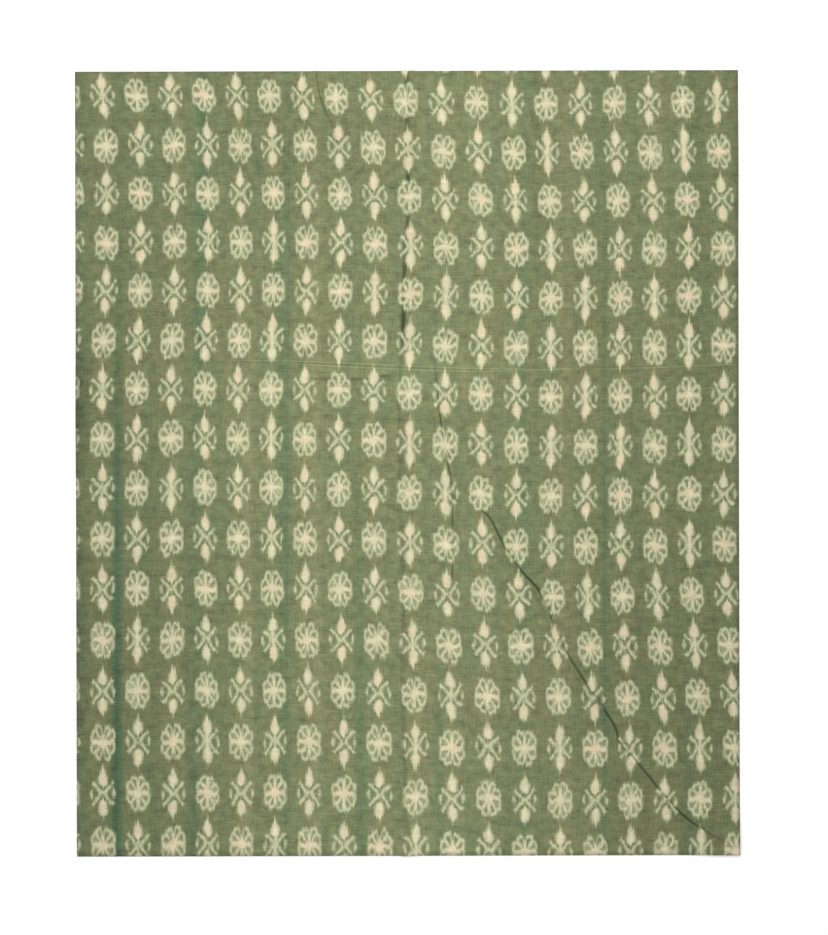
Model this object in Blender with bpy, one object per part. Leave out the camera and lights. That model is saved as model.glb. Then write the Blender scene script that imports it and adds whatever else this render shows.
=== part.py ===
"""A cut length of warp ikat cloth lying face up on a flat surface.

Metres, +X to the right, +Y along the warp towards the top edge, +Z up off the surface.
The cloth is one thin sheet. It rests flat at Z = 0 and lifts only along its creases and
over a few low swells, where the whole thickness of the sheet lifts.
"""
import math
from collections import namedtuple

import bmesh
import bpy
from mathutils import Vector
from mathutils.geometry import delaunay_2d_cdt

# The cut length
CLOTH_WIDTH = 0.843
CLOTH_LENGTH = 0.998
CLOTH_THICKNESS = 0.0012
CLOTH_TURN = math.radians(0.145)
NODE_NAME = "ikat_cloth"

# How fine the sheet's mesh is
FIELD_STEP = 0.040
EDGE_STEP = 0.030
STATION_STEP = 0.015
ROUTE_STEP = 0.005
CLEAR_OF_CREASE = 0.010
LEAST_SPACING = 0.0017
MERGE_LIMIT = 0.00001

# Every crease is a soft ridge with a narrow groove along its top
GROOVE_HALF_WIDTH = 0.0022
CREST_SHARE = 0.45

# A crease's sides are left and right of someone who walks along its route.
# Heights, depths, reaches and fades are in metres. Its height swings by the share
# named uneven, once in each wave length.
Crease = namedtuple(
    "Crease", "name ridge groove reach_left reach_right fade_in fade_out uneven wave route")

CREASES = (
    Crease("centre fold", 0.0032, 0.0024, 0.017, 0.014, 0.0, 0.0, 0.30, 0.190,
           ((0.000, 0.520), (0.000, 0.435), (0.001, 0.370), (-0.005, 0.287), (-0.004, 0.182),
            (-0.010, 0.046), (-0.005, -0.188), (-0.006, -0.266), (-0.002, -0.420),
            (0.000, -0.520))),
    Crease("side crease", 0.0026, 0.0019, 0.013, 0.011, 0.070, 0.060, 0.25, 0.120,
           ((0.029, 0.175), (0.036, 0.114), (0.043, 0.049), (0.054, -0.015), (0.057, -0.056),
            (0.057, -0.142), (0.048, -0.197))),
    Crease("diagonal tuck", 0.0052, 0.0036, 0.026, 0.011, 0.018, 0.110, 0.22, 0.170,
           ((0.090, -0.052), (0.113, -0.081), (0.132, -0.123), (0.171, -0.168), (0.203, -0.241),
            (0.260, -0.329), (0.289, -0.377), (0.344, -0.441), (0.392, -0.475),
            (0.440, -0.494))),
    Crease("cross crease", 0.0022, 0.0016, 0.011, 0.010, 0.050, 0.030, 0.20, 0.090,
           ((-0.176, 0.108), (-0.090, 0.112), (-0.012, 0.112))),
    Crease("upper crease", 0.0020, 0.0014, 0.010, 0.010, 0.0, 0.040, 0.25, 0.080,
           ((-0.118, 0.520), (-0.111, 0.466), (-0.093, 0.424), (-0.076, 0.380))),
)

# Low swells, where the cloth doesn't quite settle
Swell = namedtuple("Swell", "name x y half_width half_length height")

SWELLS = (
    Swell("left edge lift", -0.422, 0.060, 0.045, 0.110, 0.0028),
    Swell("above the tuck", 0.300, -0.270, 0.110, 0.120, 0.0018),
    Swell("below the tuck", 0.130, -0.300, 0.090, 0.120, 0.0015),
    Swell("lower right corner", 0.424, -0.500, 0.080, 0.070, 0.0030),
    Swell("upper right edge", 0.400, 0.370, 0.070, 0.110, 0.0020),
    Swell("lower left", -0.260, -0.420, 0.110, 0.090, 0.0014),
)

CLOTH_COLOUR = (0.296, 0.313, 0.172, 1.0)
CLOTH_ROUGHNESS = 0.85

# A route's even points with the length walked to each one
Route = namedtuple("Route", "points lengths")


def empty_the_scene():
    """Remove every object that the file opened with."""
    for old in list(bpy.data.objects):
        bpy.data.objects.remove(old, do_unlink=True)


def curve_between(before, start, end, after, share):
    """A point on the smooth curve from start to end, with its neighbours as guides."""
    squared = share * share
    cubed = squared * share
    return 0.5 * (2.0 * start
                  + (end - before) * share
                  + (2.0 * before - 5.0 * start + 4.0 * end - after) * squared
                  + (3.0 * start - before - 3.0 * end + after) * cubed)


def walk_route(corners, step):
    """Points about one step apart along the smooth curve through a route's corners."""
    guides = [Vector(corner) for corner in corners]
    guides.insert(0, 2.0 * guides[0] - guides[1])
    guides.append(2.0 * guides[-1] - guides[-2])
    points = [guides[1]]
    for before, start, end, after in zip(guides, guides[1:], guides[2:], guides[3:]):
        pieces = max(1, round((end - start).length / step))
        for piece in range(1, pieces + 1):
            points.append(curve_between(before, start, end, after, piece / pieces))
    lengths = [0.0]
    for start, end in zip(points, points[1:]):
        lengths.append(lengths[-1] + (end - start).length)
    return Route(points, lengths)


def place_on_route(point, route):
    """How far off a route a point lies, positive on its left, and how far along it."""
    nearest = math.inf
    found = (0.0, 0.0)
    for index, start in enumerate(route.points[:-1]):
        leg = route.points[index + 1] - start
        share = min(1.0, max(0.0, (point - start).dot(leg) / leg.length_squared))
        gap = point - start - leg * share
        if gap.length_squared < nearest:
            nearest = gap.length_squared
            side = math.copysign(1.0, leg.cross(gap))
            found = (side * gap.length, route.lengths[index] + leg.length * share)
    return found


def soft_step(value):
    """A smooth rise from 0 to 1."""
    held = min(1.0, max(0.0, value))
    return held * held * (3.0 - 2.0 * held)


def crease_lift(crease, route, point):
    """How high one crease lifts the cloth at a point."""
    offset, walked = place_on_route(point, route)
    reach = crease.reach_left if offset > 0.0 else crease.reach_right
    if abs(offset) >= reach:
        return 0.0
    strength = 1.0 - crease.uneven * (0.5 + 0.5 * math.sin(2.0 * math.pi * walked / crease.wave))
    if crease.fade_in:
        strength *= soft_step(walked / crease.fade_in)
    if crease.fade_out:
        strength *= soft_step((route.lengths[-1] - walked) / crease.fade_out)
    ridge = crease.ridge * (0.5 + 0.5 * math.cos(math.pi * abs(offset) / reach))
    groove = crease.groove * max(0.0, 1.0 - abs(offset) / GROOVE_HALF_WIDTH)
    return strength * (ridge - groove)


def swell_lift(swell, point):
    """How high one swell lifts the cloth at a point."""
    across = (point.x - swell.x) / swell.half_width
    along = (point.y - swell.y) / swell.half_length
    inside = max(0.0, 1.0 - across * across - along * along)
    return swell.height * inside * inside


def cloth_lift(point, routes):
    """The height of the cloth's underside over the surface."""
    creased = sum(crease_lift(crease, routes[crease.name], point) for crease in CREASES)
    swollen = sum(swell_lift(swell, point) for swell in SWELLS)
    return creased + swollen


def turned(across, along):
    """A point of the cut length, turned as the whole cloth lies."""
    cosine = math.cos(CLOTH_TURN)
    sine = math.sin(CLOTH_TURN)
    return Vector((across * cosine - along * sine, across * sine + along * cosine))


def inside_cloth(point, margin):
    """Whether a point lies on the cloth and at least the margin from its edges."""
    cosine = math.cos(CLOTH_TURN)
    sine = math.sin(CLOTH_TURN)
    across = point.x * cosine + point.y * sine
    along = point.y * cosine - point.x * sine
    return abs(across) <= CLOTH_WIDTH / 2 - margin and abs(along) <= CLOTH_LENGTH / 2 - margin


class SheetPlan:
    """The points and fixed edges from which the sheet's triangles are made."""

    def __init__(self):
        self.points = []
        self.edges = []

    def add(self, point):
        """Keep a point unless another is too near, and give its number or None."""
        for kept in self.points:
            if (kept - point).length < LEAST_SPACING:
                return None
        self.points.append(point)
        return len(self.points) - 1


def crossing_marks(routes, start, end):
    """Where along one cut edge the creases meet it, as shares of the edge's length."""
    marks = []
    edge = end - start
    for crease in CREASES:
        points = routes[crease.name].points
        for first, second in zip(points, points[1:]):
            before = edge.cross(first - start)
            after = edge.cross(second - start)
            if before * after >= 0.0:
                continue
            meeting = first.lerp(second, before / (before - after))
            share = (meeting - start).dot(edge) / edge.length_squared
            if 0.0 < share < 1.0:
                marks.extend(edge_marks(crease, share, edge.length))
    return marks


def edge_marks(crease, share, length):
    """Shares of a cut edge at a crease's middle, crests and feet."""
    offsets = [0.0]
    for reach in (crease.reach_left, -crease.reach_right):
        offsets += [math.copysign(GROOVE_HALF_WIDTH, reach), reach * CREST_SHARE, reach]
    marks = [share + offset / length for offset in offsets]
    return [mark for mark in marks if 0.0 < mark < 1.0]


def add_outline(plan, routes):
    """The four cut edges, with points where the creases run out over them."""
    half_width = CLOTH_WIDTH / 2
    half_length = CLOTH_LENGTH / 2
    corners = [turned(-half_width, -half_length), turned(half_width, -half_length),
               turned(half_width, half_length), turned(-half_width, half_length)]
    loop = []
    for corner, following in zip(corners, corners[1:] + corners[:1]):
        marks = crossing_marks(routes, corner, following)
        pieces = round((following - corner).length / EDGE_STEP)
        clear = CLEAR_OF_CREASE / (following - corner).length
        for piece in range(pieces):
            share = piece / pieces
            if piece == 0 or all(abs(share - mark) > clear for mark in marks):
                marks.append(share)
        for share in sorted(marks):
            number = plan.add(corner.lerp(following, share))
            if number is not None:
                loop.append(number)
    for number, following in zip(loop, loop[1:] + loop[:1]):
        plan.edges.append((number, following))
    return loop


def add_crease_lines(plan, crease, route):
    """Lines of points along a crease: its groove, its crests and the feet of its sides."""
    offsets = [0.0]
    for reach in (crease.reach_left, -crease.reach_right):
        offsets += [math.copysign(GROOVE_HALF_WIDTH, reach), reach * CREST_SHARE, reach]
    stations = walk_route(crease.route, STATION_STEP).points
    for offset in offsets:
        last = None
        for index in range(1, len(stations) - 1):
            heading = (stations[index + 1] - stations[index - 1]).normalized()
            point = stations[index] + Vector((-heading.y, heading.x)) * offset
            if not inside_cloth(point, LEAST_SPACING * 2):
                last = None
                continue
            number = plan.add(point)
            if number is not None and last is not None:
                plan.edges.append((last, number))
            last = number


def add_field(plan, routes):
    """Evenly spaced points over the rest of the cloth, clear of the creases."""
    columns = round(CLOTH_WIDTH / FIELD_STEP)
    rows = round(CLOTH_LENGTH / FIELD_STEP)
    for row in range(1, rows):
        for column in range(1, columns):
            across = CLOTH_WIDTH * (column / columns - 0.5)
            along = CLOTH_LENGTH * (row / rows - 0.5)
            point = turned(across, along)
            if all(is_clear_of(crease, routes[crease.name], point) for crease in CREASES):
                plan.add(point)


def is_clear_of(crease, route, point):
    """Whether a point lies well outside a crease's two sides."""
    offset, _walked = place_on_route(point, route)
    reach = crease.reach_left if offset > 0.0 else crease.reach_right
    return abs(offset) > reach + CLEAR_OF_CREASE


def plan_sheet(routes):
    """The flat plan of the sheet as points and triangles."""
    plan = SheetPlan()
    outline = add_outline(plan, routes)
    for crease in CREASES:
        add_crease_lines(plan, crease, routes[crease.name])
    add_field(plan, routes)
    inside_outline_only = 1
    points, _edges, triangles, *_sources = delaunay_2d_cdt(
        plan.points, plan.edges, [outline], inside_outline_only, MERGE_LIMIT)
    return points, triangles


def cloth_material():
    """Dyed cotton in the cloth's overall colour."""
    material = bpy.data.materials.new("dyed_cotton")
    material.use_nodes = True
    shader = material.node_tree.nodes["Principled BSDF"]
    shader.inputs["Base Color"].default_value = CLOTH_COLOUR
    shader.inputs["Roughness"].default_value = CLOTH_ROUGHNESS
    shader.inputs["Metallic"].default_value = 0.0
    return material


def make_cloth():
    """The sheet: its underside over the surface, pulled up by the cloth's thickness."""
    routes = {crease.name: walk_route(crease.route, ROUTE_STEP) for crease in CREASES}
    points, triangles = plan_sheet(routes)
    sheet = bmesh.new()
    corners = [sheet.verts.new((point.x, point.y, cloth_lift(point, routes))) for point in points]
    for triangle in triangles:
        sheet.faces.new([corners[number] for number in triangle])
    pulled = bmesh.ops.extrude_face_region(sheet, geom=sheet.faces[:], use_keep_orig=True)
    upper = [part for part in pulled["geom"] if isinstance(part, bmesh.types.BMVert)]
    bmesh.ops.translate(sheet, verts=upper, vec=(0.0, 0.0, CLOTH_THICKNESS))
    bmesh.ops.recalc_face_normals(sheet, faces=sheet.faces[:])
    mesh = bpy.data.meshes.new(NODE_NAME)
    sheet.to_mesh(mesh)
    sheet.free()
    mesh.materials.append(cloth_material())
    cloth = bpy.data.objects.new(NODE_NAME, mesh)
    bpy.context.scene.collection.objects.link(cloth)
    return cloth


empty_the_scene()
make_cloth()
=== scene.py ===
"""The looks of a cut length of warp ikat cloth, laid face up on a pale studio floor.

Metres, +X across the cloth, +Y along its warp towards the top edge, +Z up off the floor.
The cloth's UV map "Weave" counts columns and rows of figures, with whole numbers halfway
between two figures. Its material draws the figures from it, in millimetres. The UV map
"OFBake" goes from 0 to 1 over the flat cloth. It places the stripes and the cut edges.
"""
import math
from collections import namedtuple

import bpy
import numpy as np
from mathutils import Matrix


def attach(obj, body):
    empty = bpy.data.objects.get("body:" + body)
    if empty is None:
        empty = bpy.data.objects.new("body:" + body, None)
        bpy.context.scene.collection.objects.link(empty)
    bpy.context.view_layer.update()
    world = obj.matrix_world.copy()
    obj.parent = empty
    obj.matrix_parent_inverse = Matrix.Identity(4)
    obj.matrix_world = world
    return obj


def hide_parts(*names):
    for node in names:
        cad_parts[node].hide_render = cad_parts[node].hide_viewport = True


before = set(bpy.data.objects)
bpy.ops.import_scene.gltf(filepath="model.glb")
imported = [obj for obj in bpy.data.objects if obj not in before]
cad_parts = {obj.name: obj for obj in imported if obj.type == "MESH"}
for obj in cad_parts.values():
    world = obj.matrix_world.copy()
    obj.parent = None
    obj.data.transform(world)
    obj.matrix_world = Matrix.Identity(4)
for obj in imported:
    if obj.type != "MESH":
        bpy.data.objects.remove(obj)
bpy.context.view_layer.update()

# The cut length as it lies
CLOTH_WIDTH = 0.843
CLOTH_LENGTH = 0.998
CLOTH_THICKNESS = 0.0009
CLOTH_TURN = math.radians(0.145)
CAD_NODE = "ikat_cloth"
MILLIMETRES = 1000.0

# The sheet's mesh: coarse squares, cut finer beside the creases and again in their grooves
SQUARE = 0.0080
BESIDE_CREASE = 0.0170
BESIDE_CREASE_CUTS = 3
IN_GROOVE = 0.0042
IN_GROOVE_CUTS = 1

# How all creases are laid: the step along a route, how far off a tuck pulls the cloth in,
# the share of the way over which the painted shade changes, and how flat the painted shade
# of a groove is
ROUTE_STEP = 0.003
HIDDEN_REACH = 0.045
SHADE_CHANGE = 0.06
GROOVE_FLATNESS = 1.4

# Sides are left and right of someone who walks along a crease's route. Heights, depths,
# reaches and fades are in metres. The height swings by the share named uneven, once in
# each wave length. Shade is how much painted shade darkens the groove's colour, and late
# shade is that past the share of the way named turn. Hidden is how much cloth the groove
# folds away.
Crease = namedtuple("Crease", "name ridge groove groove_half reach_left reach_right "
                              "fade_in fade_out uneven wave shade late_shade turn hidden route")

CREASES = (
    Crease("centre fold", 0.0032, 0.0014, 0.0044, 0.017, 0.014, 0.0, 0.0, 0.28, 0.190,
           0.86, 0.26, 0.33, 0.0,
           ((0.000, 0.520), (0.000, 0.435), (0.001, 0.370), (0.001, 0.315), (-0.003, 0.262),
            (-0.005, 0.182), (-0.010, 0.046), (-0.005, -0.188), (-0.006, -0.266), (-0.002, -0.420),
            (0.000, -0.520))),
    Crease("side crease", 0.0026, 0.0019, 0.0020, 0.013, 0.011, 0.130, 0.060, 0.25, 0.120,
           0.85, 0.60, 0.50, 0.0,
           ((0.029, 0.175), (0.036, 0.114), (0.043, 0.049), (0.054, -0.015), (0.057, -0.056),
            (0.057, -0.142), (0.048, -0.197))),
    Crease("diagonal tuck", 0.0052, 0.0028, 0.0025, 0.026, 0.011, 0.010, 0.110, 0.22, 0.170,
           0.98, 0.92, 0.30, 0.0040,
           ((0.088, -0.053), (0.105, -0.070), (0.123, -0.104), (0.145, -0.137), (0.171, -0.168),
            (0.203, -0.241), (0.260, -0.328), (0.269, -0.353), (0.289, -0.376), (0.344, -0.441),
            (0.392, -0.475), (0.440, -0.494))),
    Crease("cross crease", 0.0022, 0.0008, 0.0030, 0.011, 0.010, 0.090, 0.020, 0.20, 0.090,
           0.46, 0.46, 0.50, 0.0,
           ((-0.176, 0.112), (-0.110, 0.107), (-0.060, 0.107), (-0.010, 0.113))),
    Crease("upper crease", 0.0020, 0.0015, 0.0015, 0.010, 0.010, 0.0, 0.040, 0.25, 0.080,
           0.50, 0.50, 0.50, 0.0,
           ((-0.118, 0.520), (-0.111, 0.466), (-0.093, 0.424), (-0.076, 0.380))),
)

# Low swells, where the cloth doesn't quite settle
Swell = namedtuple("Swell", "name x y half_width half_length height")

SWELLS = (
    Swell("left edge lift", -0.422, 0.060, 0.045, 0.110, 0.0028),
    Swell("above the tuck", 0.300, -0.270, 0.110, 0.120, 0.0018),
    Swell("below the tuck", 0.130, -0.300, 0.090, 0.120, 0.0015),
    Swell("lower right corner", 0.424, -0.500, 0.080, 0.070, 0.0030),
    Swell("upper right edge", 0.400, 0.370, 0.070, 0.110, 0.0020),
    Swell("lower left", -0.260, -0.420, 0.110, 0.090, 0.0014),
)

# How the figures lie, in metres from the cloth's left and top edges, and how many there are
FIRST_COLUMN = 0.0334
COLUMN_PITCH = 0.0435
FIRST_ROW = 0.0334
ROW_PITCH = 0.0607
ROW_GROWTH = 0.000177
COLUMNS = 19.0
ROWS = 16.0

# The ends of the first row stand higher, and the cloth sags between two places across it
FIRST_ROW_ARCH = 0.0031
SAG = 0.0108
SAG_START = 0.235
SAG_END = 0.617
SAG_RECOVERY = 0.0018
SAG_RECOVERY_START = 0.700

# The pitch across grows by this much in all: a share of it early down the rows, the rest late
COLUMN_SPREAD = 0.0012
EARLY_SPREAD = 0.35
EARLY_SPREAD_ROWS = 3.0
LATE_SPREAD_ROW = 8.5
LATE_SPREAD_ROWS = 5.0

# A bow pulls the columns near its centre to the left, and a wobble pushes the left columns
# of the upper rows to the right. Both depend on the column, which so takes a few passes.
BOW_DEPTH = 0.0065
BOW_CENTRE = 7.0
BOW_REACH = 5.5
WOBBLE = 0.0062
WOBBLE_COLUMNS = 14.0
WOBBLE_FROM_ROW = -0.3
WOBBLE_UNTIL_ROW = 3.2
WOBBLE_FADE_ROWS = 3.0
PITCH_PASSES = 4

# The figures' own sizes, in millimetres
FIGURE_PITCH_ACROSS = 44.2
FIGURE_PITCH_ALONG = 63.2

ROSETTE_HALF_WIDTH = 14.9
ROSETTE_HALF_HEIGHT = 21.7
ROSETTE_DEPTH = 17.0
ROSETTE_SQUARENESS = 2.5
NOTCHED_SQUARENESS = 3.3
OUTER_WALL = 3.7
STRAIGHT_SPOKE_HALF_WIDTH = 3.3
DIAGONAL_SPOKE_HALF_WIDTH = 2.3
CENTRE_REACH = 8.0
CENTRE_SQUASH = 1.35
EYE_REACH = 10.0
EYE_ROUNDING = 2.0
EYE_FILLING = 0.5
LEAST_FILLED = -1.9
FILLING_SWING = 2.1
NOTCH_ROOT = 14.5
SHUT_NOTCH_ROOT = 18.0
NOTCH_SWING = 3.0
NOTCH_SPREAD = 0.36

# The rosette's rim as shares of its outline: in the gap at its side, at its side petals, in
# the diagonal gap, at its top petals and in the gap at its top
PETALS = 8.0
SIDE_RIM = 0.98
SIDE_PETAL_RIM = 1.03
MIDDLE_RIM = 0.86
TOP_PETAL_RIM = 1.02
TOP_RIM = 0.93

# Where one kind of petal or spoke turns into the next, in eighths of a turn from the side
# for petals, and from the diagonal for spokes
PETAL_CHANGE = (0.8, 1.2)
SPOKE_CHANGE = (0.35, 0.65)

UPPER_TIP = 33.0
LOWER_TIP = 30.5
TIP_SWING = 1.6
BUD_HALF_WIDTH = 6.0
UPPER_BUD = (
    # share of the way from the middle to the tip, share of the bud's half width
    (0.00, 0.00), (0.18, 0.00), (0.26, 0.38), (0.34, 0.82), (0.45, 1.00), (0.56, 0.98),
    (0.68, 0.78), (0.79, 0.46), (0.89, 0.17), (1.00, 0.01),
)
LOWER_BUD = (
    # the same, from the middle down to the lower tip
    (0.00, 0.00), (0.20, 0.00), (0.29, 0.38), (0.39, 0.84), (0.52, 1.00), (0.66, 0.98),
    (0.78, 0.76), (0.87, 0.42), (0.94, 0.17), (1.00, 0.02),
)
TIP_SLOPE = 0.5
ARM_RISE = 0.92
ARM_GAP = 2.9
ARM_TILT = 0.74
ARM_HALF_WIDTH = 1.85
ARM_END = 18.6
KNOT_REACH = 2.3
SIDE_MARK_PLACE = 13.9
SIDE_MARK_HALF_WIDTH = 1.8
SIDE_MARK_HALF_LENGTH = 6.8
SIDE_MARK_BULGE = 1.0

# Where a spindle's two buds run together, a waist of this half width joins them. They do in
# every fourth column, more so from left to right, and in a few other places by chance.
WAIST_HALF_WIDTH = 3.6
WAIST_START = 18.0
WAIST_FULL = 10.0
FUSED_EVERY = 4.0
FUSED_COLUMN = 1.0
FUSED_COLUMNS_RAMP = (2.0, 5.0)
LEAST_FUSED = 0.45
FUSED_SWING = 0.6
STRAY_FUSED_RAMP = (0.70, 0.95)

# The yarns are tied in bundles and sets of bundles, which slip by up to so many millimetres
BUNDLES_IN_COLUMN = 15.0
BUNDLE_STEP = 0.3
BUNDLE_SLIP = 0.9
SETS_IN_COLUMN = 5.0
SET_SHIFT = 0.07
SET_SLIP = 1.4
THREADS_IN_COLUMN = 44.0
THREAD_FEATHER = 1.6
FIGURE_SLIP = 0.7
HAND_WANDER = 3.4
WANDER_SIDEWAYS = 0.6
SEEP = 1.8

# How much of the threads' feather there is: from and to how many millimetres above or below
# a figure's middle, and the share at either place
SPINDLE_FEATHER = (14.0, 30.0, 0.15, 1.6)
ROSETTE_FEATHER = (10.0, 22.0, 0.2, 0.7)

# What varies from place to place by chance: how far across and down one stretch of it goes
# in millimetres, its own random number, and how many finer sizes it has
Stretch = namedtuple("Stretch", "across down seed detail")

WANDER_ACROSS = Stretch(16.0, 22.0, 21.0, 1.0)
WANDER_ALONG = Stretch(16.0, 22.0, 23.0, 1.0)
SEEPING = Stretch(2.8, 6.5, 25.0, 1.0)
GREEN_BANDS = Stretch(22.0, 220.0, 3.0, 1.0)
GREEN_SPOTS = Stretch(12.0, 12.0, 5.0, 2.0)
BROWN_PLACES = Stretch(30.0, 30.0, 11.0, 1.0)
WARM_PLACES = Stretch(26.0, 38.0, 17.0, 1.0)
SLUBS = Stretch(30.0, 2.6, 13.0, 1.0)
WARP_YARNS = Stretch(1.6, 22.0, 7.0, 1.0)
WEFT_YARNS = Stretch(13.0, 1.6, 9.0, 1.0)
GRAIN = Stretch(1.8, 2.4, 19.0, 1.0)
BLOTCHES = Stretch(12.0, 10.0, 15.0, 3.0)
WIDE_BLOTCHES = Stretch(28.0, 22.0, 37.0, 1.0)
RAISED_WARP = Stretch(1.4, 12.0, 31.0, 1.0)
RAISED_WEFT = Stretch(14.0, 1.4, 33.0, 1.0)
COCKLE = Stretch(30.0, 18.0, 35.0, 2.0)
FINER_SHARE = 0.55

# How far the lightness swings with each, from darkest to lightest
LIGHTNESS_SWINGS = ((WARP_YARNS, 0.50), (WEFT_YARNS, 0.52), (GRAIN, 0.44), (BLOTCHES, 0.96),
                    (WIDE_BLOTCHES, 0.20))
SWING_SHARE_IN_FIGURES = 0.5

# Ramps over a stretch's random number, which mostly lies between 0.3 and 0.7: where one
# starts and ends, and its value at its start and its end
THICK_SLUB_RAMP = (0.60, 0.78, 0.0, 0.20)
THIN_SLUB_RAMP = (0.40, 0.24, 0.0, 0.17)
TEAL_RAMP = (0.32, 0.68, 0.0, 1.0)
NEAR_BROWN_RAMP = (0.44, 0.68, 0.0, 0.14)
CLOSE_BROWN_RAMP = (0.40, 0.64, 0.08, 0.58)
WARM_RAMP = (0.40, 0.66, 0.0, 1.0)
BAND_SHARE = 0.45

# The same over how many millimetres inside an undyed figure a point is, or inside a bud
NEAR_FIGURE_RAMP = (-11.0, -3.0, 0.0, 1.0)
BESIDE_BUD_RAMP = (-7.0, -1.5, 0.0, 1.0)
UNDYED_RAMP = (-2.3, 1.7, 0.0, 1.0)
PALENESS_RAMP = (-1.8, 5.8, 0.0, 1.0)
PEACH_RAMP = (1.2, 4.0, 0.0, 1.0)
EYE_BROWN_RAMP = (1.4, -0.8, 0.0, 0.85)
# How much of the painted crease shade is left, less where a point lies inside a figure
CREASE_DARK_RAMP = (-3.6, 1.0, 1.0, 0.10)

# The painted shade along the cut edges: the same over the millimetres from an edge
SIDE_EDGE_RAMP = (2.4, 0.3, 0.0, 0.62)
TOP_EDGE_RAMP = (2.0, 0.3, 0.0, 0.45)
FOOT_EDGE_RAMP = (1.6, 0.2, 0.0, 0.18)

# How the cotton takes the light
COTTON_ROUGHNESS = 0.88
COTTON_SPECULAR = 0.25
COTTON_SHEEN = 0.05
SHEEN_ROUGHNESS = 0.5

# The relief of the threads and of the cloth's slight cockle, in millimetres
THREAD_RELIEF = 0.25
COCKLE_RELIEF = 1.2
RELIEF_UNIT = 0.001

# How much lighter the studio's light shows a colour than it is
LIGHT_LEVEL = 1.20


def linear(red, green, blue):
    """A colour as the picture shows it, from 0 to 255, as the cloth's own linear colour."""
    steps = (red / 255.0, green / 255.0, blue / 255.0)
    return tuple((s / 12.92 if s <= 0.04045 else ((s + 0.055) / 1.055) ** 2.4) / LIGHT_LEVEL
                 for s in steps)


# Dyed and undyed cotton, as the picture shows them
GROUND_OLIVE = (132, 135, 94)
GROUND_TEAL = (121, 134, 96)
STRIPE_TEAL = (94, 124, 90)
DEEP_TEAL = (60, 105, 78)
PALE_OLIVE = (160, 157, 114)
DARK_OLIVE = (98, 106, 72)
HALO_BROWN = (146, 135, 95)
EYE_BROWN = (169, 150, 116)
# The colour of the painted shade in the creases
CREASE_DARK = (52, 62, 34)
# The colour of the painted shade along the cut edges
EDGE_DARK = (84, 88, 74)

RESIST_COLOURS = (
    # share of the way into the deepest undyed cotton, picture colour
    (0.00, (166, 175, 136)),
    (0.14, (180, 186, 147)),
    (0.36, (196, 199, 159)),
    (0.61, (214, 211, 173)),
    (0.84, (223, 216, 180)),
    (1.00, (231, 221, 186)),
)
PEACH = (234, 213, 179)

# Threads of another green that run down the cloth: the millimetres from the left edge at
# the top, how many more it is at the foot, and the half width in millimetres. The strength
# changes from least to most between the two rows.
Stripe = namedtuple("Stripe", "from_left lean half_width from_row full_row least most dye")

STRIPES = (
    Stripe(6.0, 0.0, 12.0, 4.0, 9.0, 0.26, 0.16, STRIPE_TEAL),
    Stripe(55.0, -3.0, 12.0, 1.0, 14.0, 0.10, 0.74, DEEP_TEAL),
    Stripe(96.0, 0.0, 16.0, 5.0, 9.0, 0.00, 0.10, DARK_OLIVE),
    Stripe(130.0, 0.0, 11.0, 0.0, 16.0, 0.14, 0.14, PALE_OLIVE),
    Stripe(162.0, -12.0, 17.0, 3.0, 10.0, 0.56, 0.38, STRIPE_TEAL),
    Stripe(220.0, 0.0, 13.0, 4.0, 7.0, 0.06, 0.34, PALE_OLIVE),
    Stripe(266.0, -5.0, 17.0, 1.0, 4.0, 0.12, 0.44, STRIPE_TEAL),
    Stripe(272.0, -5.0, 1.8, 1.0, 4.0, 0.10, 0.22, DEEP_TEAL),
    Stripe(306.0, 0.0, 13.0, 1.0, 4.0, 0.16, 0.34, PALE_OLIVE),
    Stripe(337.0, 0.0, 9.0, 1.5, 3.5, 0.08, 0.26, STRIPE_TEAL),
    Stripe(361.0, 0.0, 14.0, 5.0, 12.0, 0.08, 0.38, STRIPE_TEAL),
    Stripe(432.0, 0.0, 14.0, 4.0, 14.0, 0.04, 0.18, PALE_OLIVE),
    Stripe(461.0, 2.0, 11.0, 10.0, 14.0, 0.06, 0.32, STRIPE_TEAL),
    Stripe(524.0, 0.0, 11.0, 4.0, 9.0, 0.06, 0.18, PALE_OLIVE),
    Stripe(567.0, 0.0, 12.0, 1.0, 6.0, 0.34, 0.42, STRIPE_TEAL),
    Stripe(586.0, 0.0, 15.0, 4.6, 3.2, 0.00, 0.32, DARK_OLIVE),
    Stripe(622.0, 0.0, 18.0, 0.0, 16.0, 0.22, 0.22, PALE_OLIVE),
    Stripe(671.5, 0.0, 9.0, 3.0, 14.0, 0.16, 0.36, STRIPE_TEAL),
    Stripe(671.0, 0.0, 2.0, 3.0, 9.0, 0.10, 0.26, DEEP_TEAL),
    Stripe(740.0, 0.0, 14.0, 0.0, 16.0, 0.20, 0.20, PALE_OLIVE),
    Stripe(779.0, 0.0, 11.0, 3.0, 14.0, 0.14, 0.28, STRIPE_TEAL),
    Stripe(784.0, 0.0, 26.0, 11.0, 8.0, 0.02, 0.26, DARK_OLIVE),
)

# Single weft threads that show: the row at the middle column of their bow, its depth in rows
# a column squared, where they run, the half width in millimetres and how much lighter they are
WeftThread = namedtuple("WeftThread", "row bow middle from_column to_column half_width lighter")

WEFT_THREADS = (
    WeftThread(5.957, 0.0011, 10.5, 4.0, 19.6, 1.4, 0.38),
    WeftThread(5.994, 0.0028, 9.9, 5.0, 16.0, 1.4, -0.20),
    WeftThread(6.030, 0.0045, 9.3, 6.0, 14.6, 1.4, 0.38),
    WeftThread(6.180, 0.0, 9.0, 8.0, 9.6, 1.5, -0.22),
    WeftThread(4.070, 0.0, 10.0, 8.0, 13.0, 1.4, -0.12),
    WeftThread(4.045, 0.0, 5.0, 4.9, 6.5, 1.5, -0.22),
    WeftThread(3.950, 0.0, 5.0, 5.1, 6.2, 1.2, -0.18),
    WeftThread(13.040, 0.0, 5.0, 3.8, 6.4, 1.6, -0.16),
)

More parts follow.
